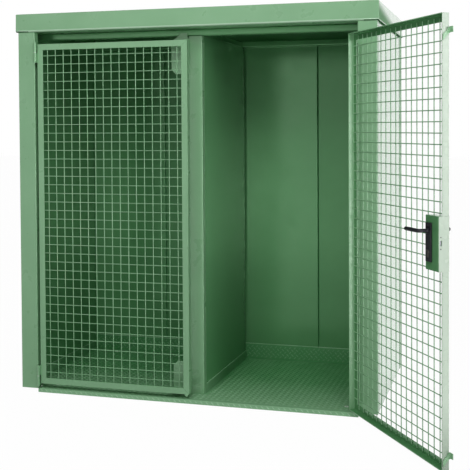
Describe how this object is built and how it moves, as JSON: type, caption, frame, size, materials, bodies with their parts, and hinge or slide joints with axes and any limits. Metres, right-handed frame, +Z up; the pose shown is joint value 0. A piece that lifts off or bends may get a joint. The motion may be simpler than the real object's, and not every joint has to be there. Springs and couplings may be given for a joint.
{
  "type": "gas cylinder cabinet",
  "caption": "Green steel gas cylinder cabinet with hinged wire mesh doors, a partition between its compartments, a lever lock and a tread plate floor.",
  "frame": {"origin": "on the ground, under the middle of the base, at the underside of the middle floor bearer", "axes": "+Z up, the doors face -Y, +X to the right seen from the front"},
  "size_m": [2.5637, 1.8177, 2.213],
  "materials": {
    "green_paint": "satin green powder coat on folded and welded steel",
    "green_tread_plate": "satin green powder coat on raised tread plate, worn on the raised marks",
    "zinc_steel": "bright zinc plated steel",
    "nickel_brass": "satin nickel plated brass",
    "black_plastic": "fine grained black nylon"
  },
  "bodies": {
    "cabinet": {"back_panel_far_left": "green_paint", "back_panel_far_right": "green_paint", "back_panel_left": "green_paint", "back_panel_right": "green_paint", "back_top_rail": "green_paint", "floor_bearers": "green_paint", "floor_plate": "green_tread_plate", "front_header": "green_paint", "hinge_pins": "zinc_steel", "hinge_post_halves": "green_paint", "hinge_washers": "zinc_steel", "left_front_post": "green_paint", "left_kick_plate": "green_paint", "left_rear_post": "green_paint", "left_side_wall": "green_paint", "left_top_rail": "green_paint", "partition_left_kick_plate": "green_paint", "partition_left_sheet": "green_paint", "partition_post": "green_paint", "partition_right_kick_plate": "green_paint", "partition_right_sheet": "green_paint", "partition_top_rail": "green_paint", "rear_left_kick_plate": "green_tread_plate", "rear_right_kick_plate": "green_tread_plate", "right_front_post": "green_paint", "right_kick_plate": "green_paint", "right_rear_post": "green_paint", "right_side_wall": "green_paint", "right_top_rail": "green_paint", "roof_cover": "green_paint"},
    "left_door": {"left_door_bottom_rail": "green_paint", "left_door_bottom_stop": "green_paint", "left_door_foot": "green_paint", "left_door_free_stile": "green_paint", "left_door_hinge_stile": "green_paint", "left_door_top_rail": "green_paint", "left_door_top_stop": "green_paint", "left_hinge_door_halves": "green_paint", "left_mesh_cross_wires": "green_paint", "left_mesh_uprights": "green_paint"},
    "right_door": {"inside_backplate": "black_plastic", "key_cylinder": "nickel_brass", "lock_case": "green_paint", "lock_cover_plate": "green_paint", "lock_forend": "green_paint", "lock_screws": "zinc_steel", "outside_backplate": "black_plastic", "overlap_tabs": "green_paint", "right_door_bottom_rail": "green_paint", "right_door_free_stile": "green_paint", "right_door_hinge_stile": "green_paint", "right_door_top_rail": "green_paint", "right_hinge_door_halves": "green_paint", "right_mesh_cross_wires": "green_paint", "right_mesh_uprights": "green_paint"},
    "lever": {"inside_lever": "black_plastic", "outside_lever": "black_plastic", "lever_spindle": "zinc_steel"},
    "bolt": {"lock_bolt": "zinc_steel"},
    "key": {"key_plug": "nickel_brass"}
  },
  "joints": [
    {"name": "left_door_hinge", "type": "hinge", "parent": "cabinet", "child": "left_door", "pos_m": [-0.941, -0.512, 1.0445], "axis": [0, 0, -1], "range_deg": [0, 165]},
    {"name": "right_door_hinge", "type": "hinge", "parent": "cabinet", "child": "right_door", "pos_m": [0.941, -0.512, 1.0445], "axis": [0, 0, 1], "range_deg": [-125.9, 39.1]},
    {"name": "lever_turn", "type": "hinge", "parent": "right_door", "child": "lever", "pos_m": [1.43439, -1.21405, 1.0945], "axis": [0.81, 0.5864, 0], "range_deg": [0, 60]},
    {"name": "bolt_throw", "type": "slide", "parent": "right_door", "child": "bolt", "axis": [0.5864, -0.81, 0], "range_m": [0, 0.024]},
    {"name": "key_turn", "type": "hinge", "parent": "right_door", "child": "key", "pos_m": [1.43439, -1.21405, 1.0025], "axis": [-0.81, -0.5864, 0], "range_deg": [0, 90]}
  ],
  "couplings": [
    {"joint": "bolt_throw", "follows": "lever_turn", "m_per_rad": 0.0229}
  ]
}
